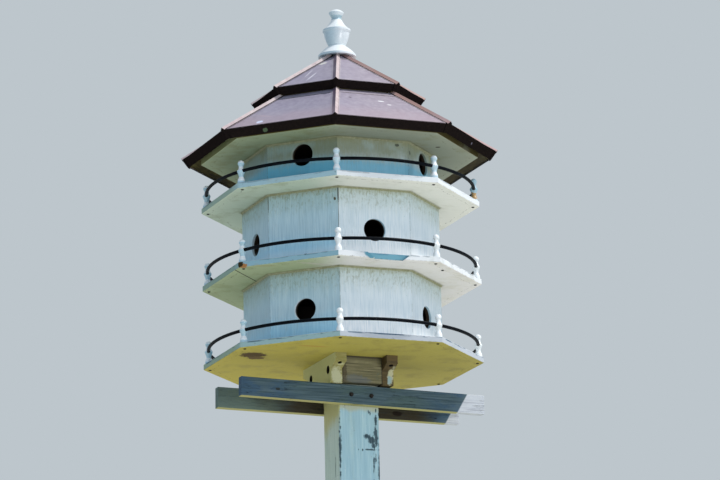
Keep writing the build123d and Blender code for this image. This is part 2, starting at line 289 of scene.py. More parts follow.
def smear(tree, place, start, end, half_width, ragged):
    """Mask of a streak: an ellipse about the line from start to end, half_width to each side, in millimetres,
    with a noisy, soft edge."""
    start, end = np.array(start) / 1000, np.array(end) / 1000
    length = float(np.linalg.norm(end - start))
    axis = tuple(((end - start) / length).tolist())
    offset = vectors(tree, "SUBTRACT", place, tuple(((start + end) / 2).tolist()))
    run = vectors(tree, "DOT_PRODUCT", offset, axis)
    square = vectors(tree, "CROSS_PRODUCT", offset, axis)
    aside = vectors(tree, "LENGTH", square)
    run_ratio = maths(tree, "MULTIPLY", run, 2 / length)
    aside_ratio = maths(tree, "MULTIPLY", aside, 1000 / half_width)
    ratio = add(tree, "CombineXYZ", {0: run_ratio, 1: aside_ratio})
    distance = vectors(tree, "LENGTH", ratio)
    return fade(tree, moved(tree, distance, ragged, 1.6), 1.2, 0.65)


def coats(tree, base, *layers):
    """Colour of a base under coats. Each layer is (mask, colour), laid over what is under it."""
    result = base
    for mask, colour in layers:
        result = add(tree, "Mix", {0: mask, 6: result, 7: colour}, data_type="RGBA")
    return result


def spotted(tree, base, place, ragged, spots):
    """A base with worn spots, each (centre, reach, colour) in millimetres."""
    for centre, reach, tone in spots:
        base = coats(tree, base, (patch(tree, place, centre, reach, ragged), tone))
    return base


def streaked(tree, base, place, ragged, streaks):
    """A base with streaks, each (start, end, half width, strength, colour) in millimetres."""
    for start, end, half_width, strength, tone in streaks:
        mask = smear(tree, place, start, end, half_width, ragged)
        base = coats(tree, base, (both(tree, mask, strength), tone))
    return base


def finish_off(material, colour, height, depth, strength, gloss=None, roughness=(0.4, 0.7)):
    """Wire a finish and return it: its colour, a relief from a 0 to 1 height with its depth in millimetres,
    and a roughness that follows gloss, a noise, between two values."""
    tree = material.node_tree
    shader = tree.nodes["Principled BSDF"]
    bump = add(tree, "Bump", {"Height": height, "Distance": depth / 1000, "Strength": strength})
    feed(tree, shader, {"Base Color": colour, "Normal": bump.outputs["Normal"]})
    if gloss:
        uneven = add(tree, "MapRange", {0: gloss, 1: 0.3, 2: 0.7, 3: roughness[0], 4: roughness[1]})
        feed(tree, shader, {"Roughness": uneven})
    return material


def wall_paint():
    """Old oil paint brushed on upright boards: satin and chalky. Painted light and shade colour it: white on
    the sunlit right, pale blue on the shaded left and at the foot of the upper storey, lighter at each foot
    and darker towards the tops, green-brown under each deck and grey-green under the roof. Bristle marks run
    down it, mildew and an olive band of painted contact shade and dirt line the tops, corners are open in
    places, and the boards are bare inside, painted nearly black as painted shade."""
    material, tree = new_finish("oil paint on wall boards", 0.52, specular=0.35)
    at = octagon_frame(tree)
    upper_deck, ceiling = UPPER_DECK / 1000, CEILING / 1000
    # Bristle marks are about 1 mm wide; they are drawn 3 mm wide, the finest that a pixel shows.
    brush = grain(tree, at.place, (2.8, 2.8, 60), roughness=0.55)
    fine = grain(tree, at.place, (1.8, 1.8, 26), detail=3.0, shift=4.0)
    cloud = grain(tree, at.place, (70, 70, 90), detail=3.0, shift=9.0)
    speck = grain(tree, at.place, (5, 5, 12), detail=5.0, roughness=0.75, shift=2.0)
    cloudy = fade(tree, cloud, 0.42, 0.6)
    height = above(tree, at.z, LOWER_DECK)
    ragged_height = moved(tree, height, speck, 0.03)
    ragged_level = moved(tree, at.z, speck, 0.03)
    # Painted light: the paint's colour on the shaded left and on the sunlit right.
    shaded_side = ramp(tree, brush, ((0.32, "#a3c9da"), (0.5, "#bddeed"), (0.66, "#d6eef7")))
    sunny = ramp(tree, brush, ((0.32, "#d6e1e9"), (0.5, "#eef3f7"), (0.66, "#fbfcfd")))
    # Painted light and shade by height: sky blue at the shaded foot, darker above it and towards the tops.
    blue_foot = fade(tree, ragged_height, 0.085, 0.03, 0.55)
    shade_above_foot = fade(tree, ragged_height, 0.03, 0.09, 0.48)
    shade = either(tree, fade(tree, ragged_height, 0.105, 0.176),
                   fade(tree, ragged_level, ceiling - 0.077, ceiling - 0.017))
    # An olive band at the very top of each storey: painted contact shade with dirt.
    stain = either(tree, fade(tree, ragged_height, 0.162, 0.180),
                   fade(tree, ragged_level, ceiling - 0.019, ceiling))
    streak = both(tree, fade(tree, fine, 0.54, 0.7), cloudy, 0.3)
    mildew = both(tree, fade(tree, speck, 0.5, 0.62), fade(tree, ragged_height, 0.12, 0.16), 0.4)
    # Painted light: sky blue foot and grey-green top of the upper storey; white line at the middle storey's
    # foot.
    upper_foot = both(tree, fade(tree, at.z, upper_deck - 0.002, upper_deck + 0.001),
                      fade(tree, ragged_level, upper_deck + 0.072, upper_deck + 0.042), 0.8)
    upper_top = fade(tree, ragged_level, ceiling - 0.069, ceiling - 0.025, 0.55)
    middle_foot = both(tree, line(tree, at.z, MIDDLE_DECK / 1000 + 0.014, 0.012, 0.02), 0.3)
    joint = both(tree, line(tree, at.corner, 0.0, 0.0003, 0.001), fade(tree, speck, 0.45, 0.56, 0.55))
    flake = both(tree, fade(tree, speck, 0.685, 0.71), fade(tree, height, 0.06, 0.01))
    # Inside the rooms the bare boards are painted nearly black as painted shade.
    inside = maths(tree, "LESS_THAN", at.out, (WALL_APOTHEM - 6) / 1000)
    colour = coats(tree, shaded_side, (blue_foot, "#9adcfb"), (lit_side(tree), sunny), (shade_above_foot, "#a7bfcd"),
                   (fade(tree, cloud, 0.48, 0.7, 0.2), "#b4c6cb"), (both(tree, shade, 0.42), "#8fa393"),
                   (upper_foot, "#60bfe0"), (upper_top, "#768778"),
                   (both(tree, upper_top, cloudy), "#7e8058"), (middle_foot, "#ffffff"),
                   (streak, "#8fa5ab"), (mildew, "#75795c"), (both(tree, stain, 0.6), "#858457"),
                   (flake, "#8b8777"), (joint, "#5f6d6c"))
    colour = spotted(tree, colour, at.place, speck, (
        ((62.5, -179, 3686), (5, 4, 4), "#4b5248"), ((97.6, -173, 3671), (4, 4, 5), "#525a50"),
        ((-97.8, -172.7, 3544), (3, 3, 4), "#4f4a38")))
    # Corner joints that have opened at the top of the middle storey.
    colour = streaked(tree, colour, at.place, speck, (
        ((-91.5, -179, 3580), (-91.5, -179, 3530), 1.9, 0.9, "#2e332f"),
        ((-91.5, -179, 3540), (-91.5, -179, 3450), 1.1, 0.6, "#5b6a6e"),
        ((-221, -49.5, 3578), (-221, -49.5, 3528), 1.7, 0.8, "#3b4038")))
    colour = coats(tree, colour, (inside, "#2b2117"))
    chips = maths(tree, "MULTIPLY_ADD", flake, -0.6, brush)
    return finish_off(material, colour, chips, 0.9, 0.45, brush, (0.62, 0.44))


def deck_paint(name, under, blotches, edges, spots, streaks=(), worn_rim=0.5, seam=None):
    """White deck enamel gone matt. Edges are white where they face the sun and blue-grey elsewhere, as
    painted light. Undersides are yellowed, darker and greener on the shaded left as painted light, blotched
    by dirt and lichen, with fine cracks near the rim; a drip line on the lower arris, a worn upper arris, an
    olive band of painted contact shade and dirt along the walls, and bare wood inside the rooms, painted
    nearly black as painted shade. under, blotches and edges are pairs of colours of painted light, for the
    shaded left and the sunlit right. seam is the start and end of a board joint in the middle deck's
    underside."""
    material, tree = new_finish(name, 0.7, specular=0.15)
    at = octagon_frame(tree)
    up = facing(tree)[2]
    wide = grain(tree, at.place, (60, 60, 60), detail=5.0, roughness=0.62)
    small = grain(tree, at.place, (9, 9, 9), detail=5.0, roughness=0.7, shift=3.0)
    boards = grain(tree, at.place, (160, 5, 30), shift=6.0)
    # Painted light: this mask picks the colours of the sunlit right.
    right = fade(tree, at.sunward, -0.13, 0.0)
    rim = maths(tree, "SUBTRACT", DECK_APOTHEM / 1000, at.out)
    crack_line = maths(tree, "MULTIPLY_ADD", wide, 0.03, 0.004)
    off_crack = maths(tree, "SUBTRACT", rim, crack_line)
    crack = both(tree, line(tree, off_crack, 0.0, 0.0003, 0.001), fade(tree, small, 0.5, 0.58, 0.65))
    over_lowest = maths(tree, "GREATER_THAN", at.z, (LOWEST_UNDERSIDE + 2) / 1000)
    # An olive band on the underside along the walls: painted contact shade with dirt.
    to_wall = moved(tree, at.out, small, 0.006)
    grime_and_shade = both(tree, fade(tree, to_wall, (WALL_APOTHEM + 11) / 1000, WALL_APOTHEM / 1000, 0.7), over_lowest)
    beneath = coats(tree, under[0], (right, under[1]))
    blotch = coats(tree, blotches[0], (right, blotches[1]))
    beneath = coats(tree, beneath, (fade(tree, wide, 0.48, 0.68, 0.6), blotch),
                    (fade(tree, small, 0.62, 0.74, 0.3), "#8a8268"),
                    (fade(tree, boards, 0.58, 0.68, 0.16), "#7d7a5c"), (crack, "#3c3524"), (grime_and_shade, "#6f6c40"))
    if seam:
        (x0, y0), (x1, y1) = seam
        length = math.hypot(x1 - x0, y1 - y0)
        across = ((y1 - y0) / length, (x0 - x1) / length, 0.0)
        middle = ((x0 + x1) / 2, (y0 + y1) / 2, LOWEST_UNDERSIDE + STOREY)
        offset = vectors(tree, "SUBTRACT", at.place, (x0 / 1000, y0 / 1000, 0.0))
        distance = vectors(tree, "DOT_PRODUCT", offset, across)
        near = patch(tree, at.place, middle, (85, 85, 85), 0.5)
        joint = both(tree, line(tree, distance, 0.0, 0.0007, 0.0016), near)
        beneath = coats(tree, beneath, (joint, "#2f3018"))
    height = above(tree, at.z, LOWEST_UNDERSIDE)
    drip = both(tree, fade(tree, height, 0.003, 0.0004), fade(tree, small, 0.45, 0.58, 0.5))
    chip = fade(tree, small, 0.68, 0.71, 0.9)
    # Peeled runs on the upper arris: 34 mm long along the rim, a few millimetres deep.
    rim_place = add(tree, "CombineXYZ", {0: at.along, 1: at.out, 2: at.z})
    runs = grain(tree, rim_place, (34, 60, 4), shift=2.0)
    peeled = both(tree, fade(tree, height, 0.0085, 0.012), fade(tree, runs, 0.52, 0.56), worn_rim)
    # The notch's floor lies about 1 mm inside the rim; it is painted blue-grey as painted shade.
    notch = both(tree, fade(tree, rim, 0.0009, 0.0013), 0.95)
    # Painted light on edges: white facing the sun; greener, darker painted shade on the far left.
    far_left = fade(tree, moved(tree, at.sunward, small, 0.02), -0.272, -0.292, 0.6)
    edge = coats(tree, edges[0], (lit_side(tree), edges[1]), (fade(tree, wide, 0.55, 0.7, 0.3), "#a3ada4"),
                 (far_left, "#8d9a73"), (notch, "#5f97ab"), (drip, "#57533a"), (chip, "#6b6149"),
                 (peeled, "#3d5c72"))
    dirty_top = coats(tree, "#e4e7e6", (fade(tree, wide, 0.45, 0.7, 0.4), "#b4b5a5"),
                      (fade(tree, small, 0.66, 0.74, 0.8), "#7f7a66"),
                      (fade(tree, rim, 0.08, 0.091, 0.4), "#8c8b74"))
    colour = coats(tree, edge, (fade(tree, up, -0.35, -0.65), beneath),
                   (fade(tree, up, 0.35, 0.65), dirty_top))
    colour = streaked(tree, spotted(tree, colour, at.place, small, spots), at.place, small, streaks)
    # The bare wood inside the rooms is painted nearly black as painted shade.
    inside = maths(tree, "LESS_THAN", at.out, (WALL_INNER + 1) / 1000)
    colour = coats(tree, colour, (both(tree, inside, over_lowest), "#30261a"))
    dents = maths(tree, "MULTIPLY_ADD", either(tree, crack, chip), -0.8, small)
    return finish_off(material, colour, dents, 0.8, 0.45, small, (0.6, 0.8))


def roof_metal(name, stops, spots=(), streaks=(), cap=False):
    """Coated steel roof sheet, folded on a brake, its coating brown. Faces turned up are a chalky mauve grey,
    partly faded and partly painted light, a little bluer on the left and pinker on the right as painted
    light, pinker also above the lower eave; the folds, turned down, are painted nearly black and dull as
    painted shade. It carries fine water marks and droppings. A hip cap's left slope, turned from the sun, is
    painted dark mauve as painted shade, copper brown towards the sunny right; its right slope stays pale
    pink."""
    material, tree = new_finish(name, 0.5)
    at = octagon_frame(tree)
    to_right, _, up = facing(tree)
    eave = LOWER_ROOF[1] / 1000
    run = grain(tree, at.place, (11, 11, 30), detail=6.0, roughness=0.66)
    mottle = grain(tree, at.place, (55, 55, 55), shift=5.0)
    speck = grain(tree, at.place, (4.5, 4.5, 4.5), detail=5.0, roughness=0.75, shift=8.0)
    top = ramp(tree, run, stops)
    if cap:
        # Painted shade: the slope turned from the sun dark mauve, copper brown towards the sunny right.
        left_slope = maths(tree, "GREATER_THAN", at.along, 0.0)
        brown = coats(tree, "#5d4d60", (fade(tree, at.sunward, -0.03, 0.06), "#a8857d"))
        top = coats(tree, top, (left_slope, brown))
    else:
        # Painted light: bluer on the left, pinker on the right and on facets turned to +X.
        cool = both(tree, fade(tree, at.sunward, 0.1, -0.12), fade(tree, at.sunward, -0.26, -0.2), 0.2)
        top = coats(tree, top, (cool, "#8f93b4"), (fade(tree, at.sunward, -0.12, 0.1, 0.1), "#c2aeb0"),
                    (fade(tree, to_right, 0.15, 0.3, 0.25), "#e0c6c8"))
    by_eave = fade(tree, moved(tree, at.z, mottle, 0.04), eave + 0.05855, eave + 0.01355, 0.4)
    top = coats(tree, top, (by_eave, "#b49aa1"), (fade(tree, mottle, 0.45, 0.7, 0.2), "#b3abb2"),
                (fade(tree, speck, 0.64, 0.74, 0.5), "#665a62"),
                (fade(tree, speck, 0.36, 0.28, 0.45), "#c9c4c6"))
    top = streaked(tree, spotted(tree, top, at.place, speck, spots), at.place, speck, streaks)
    # The folds, turned down, are painted nearly black as painted shade.
    fold = ramp(tree, speck, ((0.4, "#181414"), (0.68, "#241d1b"), (0.85, "#4a3e37")))
    # Droppings ran over the eave on the front left and front right sides.
    fold = spotted(tree, fold, at.place, speck, (
        ((-271, -173, 3699), (6, 6, 5), "#50604a"), ((249, -195, 3702), (3, 3, 4), "#6d6a78")))
    is_top = fade(tree, up, 0.35, 0.6)
    feed(tree, tree.nodes["Principled BSDF"], {"Specular IOR Level": both(tree, is_top, 0.4)})
    return finish_off(material, coats(tree, fold, (is_top, top)), mottle, 1.0, 0.2, run, (0.45, 0.65))


def weathered_beam():
    """Softwood beam left bare for years: blue-grey, with raised latewood along its length, drying cracks and
    a knot. The rear one is painted brown in its middle as painted shade, and faces turned down are painted
    yellow as painted light from the ground. The right ends reach out from under the deck and are painted
    nearly white as painted sunlight, up to a slanting line where the deck's shadow begins."""
    material, tree = new_finish("weathered softwood beam", 0.82, specular=0.25)
    place = object_place(tree)
    x, y, z = parts(tree, place)
    down = facing(tree)[2]
    rings = grain(tree, place, (150, 14, 4), detail=6.0, roughness=0.62, distortion=0.3)
    fibres = grain(tree, place, (60, 3, 1.6), detail=3.0, shift=3.0)
    cloud = grain(tree, place, (90, 60, 30), detail=3.0, shift=7.0)
    split = grain(tree, place, (120, 20, 3.2), detail=2.0, roughness=0.4, shift=11.0)
    base = ramp(tree, rings, ((0.32, "#2c3d46"), (0.46, "#40545d"), (0.6, "#526670"), (0.74, "#6b7c82")))
    from_post = maths(tree, "ABSOLUTE", x)
    blue = both(tree, fade(tree, from_post, 0.13, 0.24), fade(tree, cloud, 0.38, 0.56), 0.6)
    is_rear = fade(tree, y, -0.02, 0.02)
    # Painted shade: the rear beam brown in its middle.
    rear = both(tree, is_rear, fade(tree, moved(tree, x, cloud, 0.2), -0.25, -0.12),
                fade(tree, x, 0.27, 0.18), 0.85)
    rear_left = both(tree, is_rear, fade(tree, x, -0.13, -0.2), 0.75)
    crack = both(tree, line(tree, split, 0.5, 0.003, 0.006), fade(tree, cloud, 0.46, 0.54, 0.85))
    # Painted sunlight on the right ends, up to the deck's shadow: x = 0.58 z + 0.164 y - 1.52, in metres.
    slant = maths(tree, "MULTIPLY_ADD", z, -0.58, x)
    reach = maths(tree, "MULTIPLY_ADD", y, -0.164, slant)
    sunlit_end = fade(tree, reach, -1.5215, -1.5175, 0.97)
    colour = coats(tree, base, (fade(tree, cloud, 0.46, 0.66, 0.4), "#495f58"), (blue, "#355270"),
                   (rear_left, "#6c7d72"), (rear, "#3a2e17"),
                   (fade(tree, fibres, 0.56, 0.7, 0.45), "#2f4149"))
    colour = spotted(tree, colour, place, rings, (
        ((139, 51.3, 3081), (13, 20, 6), "#1d130c"), ((-212, -70.3, 3096), (6, 10, 3.5), "#2d3436")))
    # Painted light: faces turned down yellow from the ground, the ends sunlit nearly white.
    colour = coats(tree, colour, (fade(tree, down, -0.35, -0.7), "#a39f68"), (sunlit_end, "#c4c9d1"),
                   (both(tree, sunlit_end, fade(tree, rings, 0.52, 0.38), 0.7), "#989ca8"), (crack, "#171c1f"))
    ridges = maths(tree, "ADD", rings, fibres)
    raised = maths(tree, "MULTIPLY_ADD", crack, -1.5, ridges)
    return finish_off(material, colour, raised, 0.9, 0.7)


def mount_wood(name, run_size, stops, stain, peeled, peel_from, streaks, inner=None, dark_rims=False):
    """Painted softwood of the mount, stained green and yellow and worn off in patches down to grey wood. The
    screw recesses and seats, folded onto one quarter of the mount, are painted nearly black inside: painted
    shade with some dirt. inner is the colour of faces turned to -X: painted light on the left cleat, painted
    shade on the right one. With dark_rims, painted contact shade and dirt darken the last millimetres before
    the post and the deck."""
    material, tree = new_finish(name, 0.68, specular=0.35)
    place = object_place(tree)
    run = grain(tree, place, run_size, detail=5.0, roughness=0.62)
    wide = grain(tree, place, (32, 40, 30), detail=5.0, roughness=0.68, shift=5.0)
    small = grain(tree, place, (5, 5, 5), shift=9.0)
    base = ramp(tree, run, stops)
    bare = fade(tree, wide, peel_from, peel_from + 0.04)
    colour = coats(tree, base, (fade(tree, wide, 0.42, 0.56, 0.5), stain), (bare, peeled),
                   (fade(tree, small, 0.64, 0.74, 0.5), "#3d3626"))
    colour = streaked(tree, colour, place, small, streaks)
    # Faces turned to -X: painted light on the left cleat, painted shade on the right one.
    if inner:
        colour = coats(tree, colour, (fade(tree, facing(tree)[0], -0.5, -0.8, 0.85), inner))
    folded = vectors(tree, "ABSOLUTE", place)
    across, _, level = parts(tree, folded)
    # Painted contact shade and dirt next to the post and the deck.
    if dark_rims:
        sides, top = POST_HALF / 1000, LOWEST_UNDERSIDE / 1000
        rims = either(tree, fade(tree, across, sides - 0.004, sides - 0.001),
                      fade(tree, level, top - 0.009, top - 0.001))
        colour = coats(tree, colour, (both(tree, rims, 0.8), "#231b10"))
    # Painted shade with some dirt: recesses and seats nearly black inside.
    # The bores are drawn a little wider than they are, so that no pale ring shows at their mouths.
    margin = 0.15
    from_recess = vectors(tree, "SUBTRACT", folded, tuple(c / 1000 for c in RECESS))
    in_face = vectors(tree, "MULTIPLY", from_recess, (0.0, 1.0, 1.0))
    radius = vectors(tree, "LENGTH", in_face)
    in_bore = maths(tree, "LESS_THAN", radius, (RECESS_RADIUS + margin) / 1000)
    sunk = maths(tree, "LESS_THAN", across, (CLEAT_FACE - 0.2) / 1000)
    from_seat = vectors(tree, "SUBTRACT", folded, tuple(c / 1000 for c in SEAT))
    up_slant = vectors(tree, "DOT_PRODUCT", from_seat, STEP_SLANT)
    sideways = parts(tree, from_seat)[0]
    radius = vectors(tree, "LENGTH", add(tree, "CombineXYZ", {0: sideways, 1: up_slant}))
    seat = maths(tree, "LESS_THAN", radius, (SEAT_RADIUS + margin) / 1000)
    colour = coats(tree, colour, (either(tree, both(tree, in_bore, sunk), seat), "#120e0a"))
    worn = maths(tree, "MULTIPLY_ADD", bare, -0.7, run)
    return finish_off(material, colour, worn, 0.9, 0.6)


def post_paint():
    """Old white paint on a square softwood post: bluish on the front and greenish on the sides as painted
    light, yellowed under the beams, alligatored and peeled down to dark grey wood in patches along the
    front's right corner, splashed with soil below."""
    material, tree = new_finish("peeling paint on post", 0.6, specular=0.4)
    place = object_place(tree)
    x, y, z = parts(tree, place)
    towards_x, towards_y = facing(tree)[:2]
    brush = grain(tree, place, (5, 5, 110), detail=5.0)
    flake = grain(tree, place, (9, 9, 22), detail=6.0, roughness=0.72, shift=4.0)
    wide = grain(tree, place, (45, 45, 140), detail=3.0, shift=8.0)
    wood = grain(tree, place, (4, 4, 90), shift=12.0)
    # Cross cracks of old thick paint.
    across = grain(tree, place, (26, 26, 5), detail=3.0, roughness=0.5, shift=17.0)
    # Ragged edges of the peeled places: noise stretched to its full range.
    crumbs = grain(tree, place, (6, 6, 9), detail=5.0, roughness=0.75, shift=21.0)
    edge_noise = add(tree, "MapRange", {0: crumbs, 1: 0.3, 2: 0.7})
    front = fade(tree, towards_y, -0.4, -0.8)
    left = fade(tree, towards_x, -0.4, -0.8)
    # Painted light: the sides greenish, the front bluish.
    sides = ramp(tree, brush, ((0.3, "#a9bdb3"), (0.5, "#b7c9bf"), (0.7, "#c6d3c8")))
    face = ramp(tree, brush, ((0.3, "#8fb3c2"), (0.5, "#9abdca"), (0.7, "#a9c9d2")))
    front_head = both(tree, front, fade(tree, moved(tree, z, wide, 0.03), 3.052, 3.066), 0.6)
    left_head = both(tree, left, fade(tree, moved(tree, z, wide, 0.1), 3.0, 3.05), 0.8)
    colour = coats(tree, sides, (front, face), (front_head, "#b3aa7d"), (left_head, "#b9b26b"),
                   (fade(tree, wide, 0.5, 0.72, 0.3), "#a3b59f"),
                   (fade(tree, brush, 0.6, 0.74, 0.3), "#cfe0e6"))
    bare = ramp(tree, wood, ((0.35, "#1c3440"), (0.55, "#2f4a56"), (0.75, "#54696f")))
    # Paint is weakest at the post's corners.
    near_corner, corner = (POST_HALF - 7) / 1000, (POST_HALF - 0.5) / 1000
    by_x, by_y = (fade(tree, maths(tree, "ABSOLUTE", c), near_corner, corner) for c in (x, y))
    weakness = maths(tree, "ADD", flake, both(tree, by_x, by_y, 0.1))
    peeled = fade(tree, weakness, 0.67, 0.69)
    rim = both(tree, line(tree, weakness, 0.662, 0.004, 0.006), 0.6)
    # Where the front has lost its paint at the post's head: (x, z) of start and end, and half width.
    for *ends, half_width in (
            ((42, 3052), (42, 3018), 3.4), ((41, 3028), (41, 2992), 5), ((44, 3008), (43, 2978), 4),
            ((14, 3001), (30, 2992), 6), ((22, 2999), (40, 2978), 8), ((34, 2990), (36, 2968), 5),
            ((14, 2966), (43, 2966), 2.4), ((6, 2965), (9, 2965), 2.4), ((-3.5, 2965), (-2, 2965), 2),
            ((36, 2956), (35, 2905), 1.7), ((41, 2956), (41, 2935), 1.6), ((50, 2976), (50, 2870), 3.4),
            ((24, 3065), (24.2, 3052), 1.5), ((28, 3058), (28.3, 3049), 1.3), ((43, 3067), (43, 3057), 1.7),
            ((-51, 3018), (-51, 2930), 5), ((-51, 3050), (-51, 2600), 2.4)):
        start, end = ((right, -POST_HALF, level) for right, level in ends)
        peeled = either(tree, peeled, smear(tree, place, start, end, half_width, edge_noise))
    left_scratch = smear(tree, place, (-51, -22.9, 2952), (-51, -19.7, 2895), 1.6, edge_noise)
    peeled = either(tree, peeled, left_scratch)
    split = both(tree, line(tree, across, 0.5, 0.0015, 0.004), fade(tree, wide, 0.52, 0.62), 0.45)
    soil = fade(tree, moved(tree, z, flake, 0.35), 0.05, -0.14, 0.8)
    colour = coats(tree, colour, (rim, "#e4eef1"), (split, "#55626a"), (peeled, bare), (soil, "#6d6350"))
    step = maths(tree, "MULTIPLY_ADD", peeled, -0.9, brush)
    return finish_off(material, colour, step, 0.8, 0.6)


def turned_gloss(name, shaded_side, sunny, shade, tops, sunny_from, spots, grime_and_shade):
    """White gloss enamel on turned wood: still shiny. Painted light and shade colour it: bluer on the shaded
    left and under the roof, whitest on faces turned up; grey dirt mottles it, and painted shade darkens
    faces turned down, under beads and in the necks."""
    material, tree = new_finish(name, 0.28, coat=0.3)
    at = octagon_frame(tree)
    up = facing(tree)[2]
    upper_deck, ceiling = UPPER_DECK / 1000, CEILING / 1000
    small = grain(tree, at.place, (4, 4, 4), roughness=0.65)
    wide = grain(tree, at.place, (22, 22, 14), shift=6.0)
    # Painted light and shade: bluer left and under the roof, lightest tops, shade colour under beads.
    under_roof = both(tree, fade(tree, at.z, upper_deck - 0.008, upper_deck + 0.002),
                      fade(tree, at.z, ceiling + 0.103, ceiling + 0.003), 0.75)
    colour = coats(tree, shaded_side, (fade(tree, at.sunward, *sunny_from), sunny), (under_roof, shaded_side),
                   (fade(tree, up, -0.05, 0.28), tops), (fade(tree, wide, 0.46, 0.68, grime_and_shade * 0.5), shade),
                   (both(tree, fade(tree, up, 0.1, -0.45), fade(tree, small, 0.3, 0.55), grime_and_shade), shade),
                   (fade(tree, small, 0.68, 0.74, 0.5), "#7f8072"))
    colour = spotted(tree, colour, at.place, small, spots)
    return finish_off(material, colour, wide, 0.4, 0.2, wide, (0.22, 0.42))


def coated_bar():
    """Steel bar with black plastic coating: smooth and dull, a little dusty on top and scuffed in places."""
    material, tree = new_finish("black coated steel bar", 0.5, specular=0.05)
    place = object_place(tree)
    dust = grain(tree, place, (14, 14, 14))
    scuff = grain(tree, place, (5, 5, 5), detail=3.0, roughness=0.7, shift=3.0)
    base = ramp(tree, dust, ((0.35, "#03060b"), (0.7, "#0a1018")))
    dusty_top = both(tree, fade(tree, facing(tree)[2], 0.6, 0.95), fade(tree, dust, 0.5, 0.66), 0.25)
    colour = coats(tree, base, (dusty_top, "#3c3f40"), (fade(tree, scuff, 0.7, 0.76, 0.4), "#3c4248"))
    return finish_off(material, colour, scuff, 0.2, 0.2)


def roof_board():
    """Sheathing boards under the metal: softwood gone golden brown to dark brown from damp, never painted."""
    material, tree = new_finish("stained roof boards", 0.85, specular=0.15)
    at = octagon_frame(tree)
    run = grain(tree, at.place, (40, 40, 6), detail=5.0, roughness=0.65, distortion=0.4)
    wide = grain(tree, at.place, (70, 70, 40), shift=5.0)
    base = ramp(tree, run, ((0.3, "#2f2919"), (0.5, "#4c4426"), (0.7, "#665c33")))
    sunny = fade(tree, at.sunward, 0.1, 0.24, 0.5)
    colour = coats(tree, base, (fade(tree, wide, 0.5, 0.66, 0.6), "#241f15"), (sunny, "#5f564a"))
    return finish_off(material, colour, run, 0.8, 0.6)


def dark_steel():
    """Screw and bolt heads of plain steel, browned by rust: rough, dull, nearly black."""
    material, tree = new_finish("rusted dark steel", 0.7, metallic=0.4)
    rust = grain(tree, object_place(tree), (2.5, 2.5, 2.5), detail=5.0, roughness=0.7)
    colour = ramp(tree, rust, ((0.4, "#0e0c0b"), (0.6, "#1d1613"), (0.75, "#3a271b")))
    return finish_off(material, colour, rust, 0.25, 0.5)


def old_caulk():
    """Painter's caulk in the joint between wall and deck: matt, cracked, grimier than the paint beside it."""
    material, tree = new_finish("old painter's caulk", 0.7)
    place = object_place(tree)
    small = grain(tree, place, (8, 8, 8), detail=5.0, roughness=0.7)
    height = above(tree, parts(tree, place)[2], LOWER_DECK)
    base = ramp(tree, small, ((0.3, "#76775a"), (0.5, "#8a8c6c"), (0.68, "#9fa086")))
    colour = coats(tree, base, (fade(tree, height, 0.012, 0.008), "#b9c6cb"))
    return finish_off(material, colour, small, 0.6, 0.5)


def piece(name, points, faces, finish, slot):
    """Make one finished piece from points (millimetres) and faces. It rides on the fixed body."""
    mesh = bpy.data.meshes.new(name)
    mesh.from_pydata((np.asarray(points) / 1000).tolist(), [], [list(face) for face in faces])
    mesh.materials.append(finish)
    made = placed(name, mesh)
    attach(made, "root")


def grid_faces(stations, section, rows):
    """Quads of a grid of points, stations times section, that closes round the section. As many rows of quads
    as stations close the other way too."""
    i, j = np.meshgrid(np.arange(rows), np.arange(section), indexing="ij")
    after, beside = (i + 1) % stations * section, (j + 1) % section
    faces = np.stack([i * section + j, after + j, after + beside, i * section + beside], axis=2)
    return faces.reshape(-1, 4).tolist()


def turned_head(profile, sides):
    """Surface of revolution with closed poles. profile lists (radius, height) rings from the top down,
    between a pole at the first height and one at height 0: point = (radius cos t, radius sin t, height),
    t in equal steps."""
    rings = np.array(profile, float)
    step = np.arange(sides)
    turn = step * 2 * math.pi / sides
    circle = np.stack([np.cos(turn), np.sin(turn)], axis=1)
    heights = np.repeat(rings[:, None, 1:], sides, axis=1)
    wall = np.concatenate([rings[:, None, :1] * circle[None], heights], axis=2)
    points = np.concatenate([wall.reshape(-1, 3), [[0, 0, rings[0, 1]], [0, 0, 0]]])
    following = (step + 1) % sides
    top = np.stack([np.full(sides, len(points) - 2), step, following], axis=1)
    last = (len(rings) - 1) * sides
    bottom = np.stack([np.full(sides, len(points) - 1), last + following, last + step], axis=1)
    return points, grid_faces(len(rings), sides, len(rings) - 1) + top.tolist() + bottom.tolist()


def copies(shape, places, axes):
    """Copies of a shape, each with its Z turned onto an axis and moved to a place:
    world point = x u + y v + z axis + place, with u and v square to the axis."""
    points, faces = shape
    places = np.array(places, float)
    axes = np.broadcast_to(np.array(axes, float), places.shape)
    axes = axes / np.linalg.norm(axes, axis=1, keepdims=True)
    helper = np.where(np.abs(axes[:, 2:]) > 0.9, [[1.0, 0.0, 0.0]], [[0.0, 0.0, 1.0]])
    u = np.cross(helper, axes)
    u = u / np.linalg.norm(u, axis=1, keepdims=True)
    v = np.cross(axes, u)
    turned = np.stack([u, v, axes], axis=1)
    world = np.einsum("pk,mkc->mpc", points, turned) + places[:, None, :]
    starts = np.arange(len(places)) * len(points)
    all_faces = [[corner + int(start) for corner in face] for start in starts for face in faces]
    return world.reshape(-1, 3), all_faces


def closed_grid(grid):
    """Closed tube from a grid of points (stations, section points): faces wrap round both ways."""
    stations, section = grid.shape[:2]
    return grid.reshape(-1, 3), grid_faces(stations, section, stations)


def joined(*shapes):
    """One mesh from several shapes."""
    starts = np.cumsum([0] + [len(points) for points, _ in shapes])
    points = np.concatenate([points for points, _ in shapes])
    faces = [[corner + start for corner in face] for (_, some), start in zip(shapes, starts) for face in some]
    return points, faces


